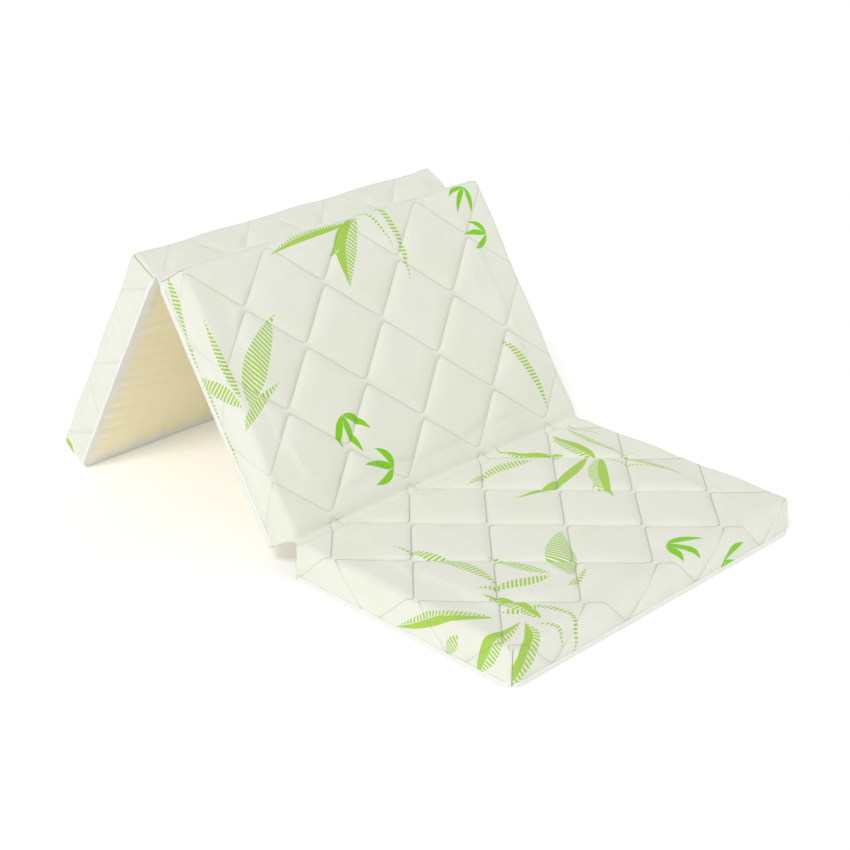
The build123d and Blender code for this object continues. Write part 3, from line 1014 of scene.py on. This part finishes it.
# ---------------------------------------------------------------------------
# The end walls
# Where the quilted cloth hangs free at the first fold, a plain white wall
# closes each pocket. It is set just inside, and eases out a little.
for pad in (front, middle):
    high_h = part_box("front_end_wall")[1].z
    u, h = np.meshgrid(steps(foam_inset, width - foam_inset, 4 * MM),
                       steps(1.0 * MM, high_h, 4 * MM), indexing="ij")
    level = (h - 1.0 * MM) / (high_h - 1.0 * MM)
    ease = 1.3 * np.sin(np.pi * level) + 0.35 * np.sin(np.pi * level) * waves(
        u / MM, h / MM, (70, 55), 91)
    along = setback - ease * MM
    wall = make_cloth(f"{pad.name}_pocket_wall", place(pad, along, u, h),
                      place(pad, along - MM, u, h), u / MM, h / MM,
                      np.zeros(u.shape), ease, 0.6 * MM)
    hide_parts(f"{pad.name}_end_wall")
    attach(wall, f"{pad.name}_pad")

# ---------------------------------------------------------------------------
# The seam tapes
# A narrow woven tape is sewn over the seam where the quilted side meets the
# underside cloth. It follows the pad's outline, and is open at the first fold.
tape_round = 20.0 * MM
tape_thick = 1.9
tape_tall = 3.6


def outline(pad, pitch):
    """A pad's outline from above: its points, outward normals and distance along it.

    A walk round the square outline is rounded as round_off does: each point goes to one radius
    from a smaller rectangle.
    """
    low = pad.start + (setback if pad is not rear else 0.0)
    corners = [(low, 0.0), (pad.end, 0.0), (pad.end, width), (low, width)]
    if pad is rear:
        corners = [(pad.end / 2, 0.0), *corners[1:], corners[0], (pad.end / 2, 0.0)]
    walk = []
    for (a, b), (c, d) in zip(corners[:-1], corners[1:]):
        share = np.linspace(0, 1, int(round(np.hypot(c - a, d - b) / pitch)), endpoint=False)
        walk.append(np.stack([a + (c - a) * share, b + (d - b) * share], axis=-1))
    square = np.concatenate([*walk, [corners[-1]]])
    low_core = (low + tape_round if pad is rear else -1.0, tape_round)
    core = np.clip(square, low_core, (pad.end - tape_round, width - tape_round))
    normal = square - core
    normal = normal / np.linalg.norm(normal, axis=-1, keepdims=True)
    points = core + tape_round * normal
    run = np.concatenate([[0.0], np.cumsum(np.linalg.norm(np.diff(points, axis=0), axis=-1))])
    return points, normal, run


def tube(name, rings, closed):
    """A mesh from rings of points, each joined to the next, and its faces.

    Open ends are capped. Faces that would look towards the rings' middles are turned round.
    """
    n, m = rings.shape[:2]
    ring = np.arange(n if closed else n - 1)
    index = np.arange(m)
    a = ring[:, None] * m + index
    b = ring[:, None] * m + (index + 1) % m
    ahead = (ring[:, None] + 1) % n * m
    quads = np.stack([a, b, ahead + (index + 1) % m, ahead + index], axis=-1).reshape(-1, 4)
    faces = quads.tolist()
    if not closed:
        faces += [index[::-1].tolist(), (index + (n - 1) * m).tolist()]
    beside, onward = np.roll(rings, -1, axis=1)[:-1] - rings[:-1], rings[1:] - rings[:-1]
    from_middle = (rings - rings.mean(axis=1, keepdims=True))[:-1]
    if (np.cross(beside, onward) * from_middle).sum() < 0:
        faces = [face[::-1] for face in faces]
    mesh = bpy.data.meshes.new(name)
    mesh.from_pydata(rings.reshape(-1, 3).tolist(), [], faces)
    mesh.shade_smooth()
    return mesh, faces


# Narrow polyester tape: white, close-woven, with a row of lock stitches along it.
edge_tape, shader = start_material("woven_edge_tape", 0.75, sheen=0.1)
tape_run, tape_height, _ = attribute_parts(edge_tape, "tape")
stitch = add_node(edge_tape, "ShaderNodeMath", {0: stripes(edge_tape, tape_run, 3.6), 1: 2.0, 2: 0.8},
                  operation="MULTIPLY_ADD", use_clamp=True)
row = add_node(edge_tape, "ShaderNodeMath", {0: tape_height, 1: 0.9}, operation="SUBTRACT")
row = add_node(edge_tape, "ShaderNodeMath", {0: row}, operation="ABSOLUTE")
row = add_node(edge_tape, "ShaderNodeMath", {0: row, 1: -2.0, 2: 1.2}, operation="MULTIPLY_ADD",
               use_clamp=True)
sewing = add_node(edge_tape, "ShaderNodeMath", {0: stitch, 1: row}, operation="MULTIPLY")
tone = add_node(edge_tape, "ShaderNodeMix", {0: sewing, 6: linear("#F4F5F0"),
                                             7: linear("#D8DACF")}, data_type="RGBA")
rib = add_node(edge_tape, "ShaderNodeMath", {0: stripes(edge_tape, tape_run, 1.2), 1: 0.25, 2: sewing},
               operation="MULTIPLY_ADD")
raised_thread = add_node(edge_tape, "ShaderNodeBump", {"Height": rib, "Strength": 0.6,
                                                       "Distance": 0.25 * MM})
finish_material(edge_tape, shader, tone.outputs[2], raised_thread.outputs["Normal"])

for number, pad in enumerate((front, middle, rear)):
    points, normal, run = outline(pad, 4 * MM)
    closed = pad is rear
    if closed:
        points, normal, run = points[:-1], normal[:-1], run[:-1]
    angle = 2 * np.pi * np.arange(12) / 12
    out = 0.3 + tape_thick * np.sign(np.cos(angle)) * np.abs(np.cos(angle)) ** 0.7
    tall = tape_tall * np.sign(np.sin(angle)) * np.abs(np.sin(angle)) ** 0.6
    sway = 0.25 * waves(run / MM, 0.0, (90, 90), 101 + number)[:, None]
    # The seam rolls slightly, more on its loose stretches.
    along = points[:, :1] + normal[:, :1] * (out - 0.1 + sway) * MM
    across = points[:, 1:] + normal[:, 1:] * (out - 0.1 + sway) * MM
    height = (3.5 + tall + 0.5 * sway) * MM
    rings = place(pad, along, across, np.broadcast_to(height, along.shape))
    rings[..., 2] = np.maximum(rings[..., 2], 0.0)
    mesh, faces = tube(f"{pad.name}_seam_tape", rings, closed)
    values = [np.broadcast_to(run[:, None] / MM, along.shape), np.broadcast_to(tall, along.shape),
              np.broadcast_to(out, along.shape)]
    order = np.concatenate(faces)
    paint(mesh, "tape", [value.ravel()[order] for value in values])
    tape = show(f"{pad.name}_seam_tape", mesh, edge_tape)
    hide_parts(f"{pad.name}_seam_binding")
    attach(tape, f"{pad.name}_pad")

# ---------------------------------------------------------------------------
# The zips
# Each cover opens along its right-hand side with a nylon coil zip: two woven
# tapes, the wound coil sewn to them, and an enamelled slider and stops.
zip_line = 17.0 * MM
zip_gap = 45.0 * MM
zip_tape_wide = 9.0 * MM
zip_slit = 2.0 * MM
zip_face = width - cover_inset

# Herringbone tape: its ribs are 1 mm apart and lean, changing way at the coil.
herringbone, shader = start_material("herringbone_zip_tape", 0.75, sheen=0.1)
tape_across, tape_run, _ = attribute_parts(herringbone, "cloth")
away = add_node(herringbone, "ShaderNodeMath", {0: tape_across}, operation="ABSOLUTE")
leaned = add_node(herringbone, "ShaderNodeMath", {0: away, 1: 0.8, 2: tape_run},
                  operation="MULTIPLY_ADD")
hem = add_node(herringbone, "ShaderNodeMath", {0: away, 1: 8.2}, operation="SUBTRACT")
hem = add_node(herringbone, "ShaderNodeMath", {0: hem}, operation="ABSOLUTE")
hem = add_node(herringbone, "ShaderNodeMath", {0: hem, 1: -2.2, 2: 1.2}, operation="MULTIPLY_ADD",
               use_clamp=True)
dash = add_node(herringbone, "ShaderNodeMath", {0: stripes(herringbone, tape_run, 3.4),
                                                1: 2.0, 2: 0.8},
                operation="MULTIPLY_ADD", use_clamp=True)
hem = add_node(herringbone, "ShaderNodeMath", {0: hem, 1: dash}, operation="MULTIPLY")
tone = add_node(herringbone, "ShaderNodeMix", {0: hem, 6: linear("#EEEFEA"),
                                               7: linear("#CFD1C8")}, data_type="RGBA")
twill = add_node(herringbone, "ShaderNodeMath", {0: hem, 1: 2.0, 2: stripes(herringbone, leaned, 1.6)},
                 operation="MULTIPLY_ADD")
twill = add_node(herringbone, "ShaderNodeBump", {"Height": twill, "Strength": 0.5,
                                                 "Distance": 0.15 * MM})
finish_material(herringbone, shader, tone.outputs[2], twill.outputs["Normal"])

# Nylon monofilament: white, smooth and slightly see-through.
filament, _ = flecked_material("nylon_coil", 0.35, 0.5, "#F1F1EC", "#E2E2DA",
                               400.0, 0.1, 0.05 * MM)

# Die-cast zinc with baked enamel: white, glossy, with a faint orange-peel.
enamel, shader = flecked_material("white_enamel_on_zinc", 0.25, 0.5, "#EEEEEA", "#E2E2DC",
                                  900.0, 0.15, 0.05 * MM)
shader.inputs["Coat Weight"].default_value = 0.4

coil_turn = 1.5
wire_radius = 0.33
pad_length = {"front": front.end, "middle": middle_length, "rear": rear_length}


def coil_rings(pad, side):
    """One half of the closed coil: a round wire wound in a flattened spiral.

    The spiral's place across is side (1.15 + 1.1 cos a) and out of the face 0.75 + 0.65 sin a,
    in mm. Its sections are circles square to its own direction.
    """
    first, last = zip_gap / MM + 4, (pad_length[pad.name] - zip_gap) / MM - 4
    turns = (last - first) / coil_turn
    a = np.linspace(0, 2 * np.pi * turns, int(turns * 8))
    line = np.stack([first + coil_turn * a / (2 * np.pi) + side * coil_turn / 4,
                     1.85 + 0.62 * np.sin(a), side * (1.15 + 1.1 * np.cos(a))], axis=-1)
    ahead = np.gradient(line, axis=0)
    ahead = ahead / np.linalg.norm(ahead, axis=-1, keepdims=True)
    beside = np.cross(ahead, [1.0, 0.0, 0.0])
    beside = beside / np.linalg.norm(beside, axis=-1, keepdims=True)
    above = np.cross(beside, ahead)
    b = 2 * np.pi * np.arange(5) / 5
    circle = beside[:, None] * np.cos(b)[:, None] + above[:, None] * np.sin(b)[:, None]
    return (line[:, None] + wire_radius * circle) * MM


for pad in (front, middle, rear):
    grids, outer, flats = [], [], []
    for side in (-1, 1):
        s, h = np.meshgrid(steps(zip_gap, pad_length[pad.name] - zip_gap, 5 * MM),
                           steps(zip_slit / 2, zip_slit / 2 + zip_tape_wide, 1.5 * MM),
                           indexing="ij")
        away = (h - zip_slit / 2) / zip_tape_wide
        ripple = 0.78 + 0.12 * np.sin(s / MM / 9) * away
        out = zip_face + ripple * MM
        grids.append(place(pad, s, out, zip_line + side * h))
        outer.append(place(pad, s, out + MM, zip_line + side * h))
        flats.append((side * h / MM, s / MM))
    mesh, quads, _ = make_mesh(f"{pad.name}_zip_tape_pair", grids, outer)
    across, along = [np.concatenate([flat[i].ravel() for flat in flats])[quads] for i in (0, 1)]
    paint(mesh, "cloth", [across, along, 0 * across])
    tapes = show(f"{pad.name}_zip_tape_pair", mesh, herringbone)
    ply = tapes.modifiers.new("ply", "SOLIDIFY")
    ply.thickness = 0.7 * MM
    ply.offset = -1.0
    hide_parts(f"{pad.name}_zip_tapes")
    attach(tapes, f"{pad.name}_pad")
    for side, half_name in ((-1, "lower"), (1, "upper")):
        rings = coil_rings(pad, side)
        rings = place(pad, rings[..., 0], zip_face + rings[..., 1], zip_line + rings[..., 2])
        mesh, _ = tube(f"{pad.name}_zip_{half_name}_coil", rings, False)
        coil = show(f"{pad.name}_zip_{half_name}_coil", mesh, filament)
        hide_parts(f"{pad.name}_zip_coil")
        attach(coil, f"{pad.name}_pad")
    for part_name in ("zip_stops", "zip_slider", "zip_pull"):
        metal = frame["nodes"][f"{pad.name}_{part_name}"]
        metal.data.materials.clear()
        metal.data.materials.append(enamel)
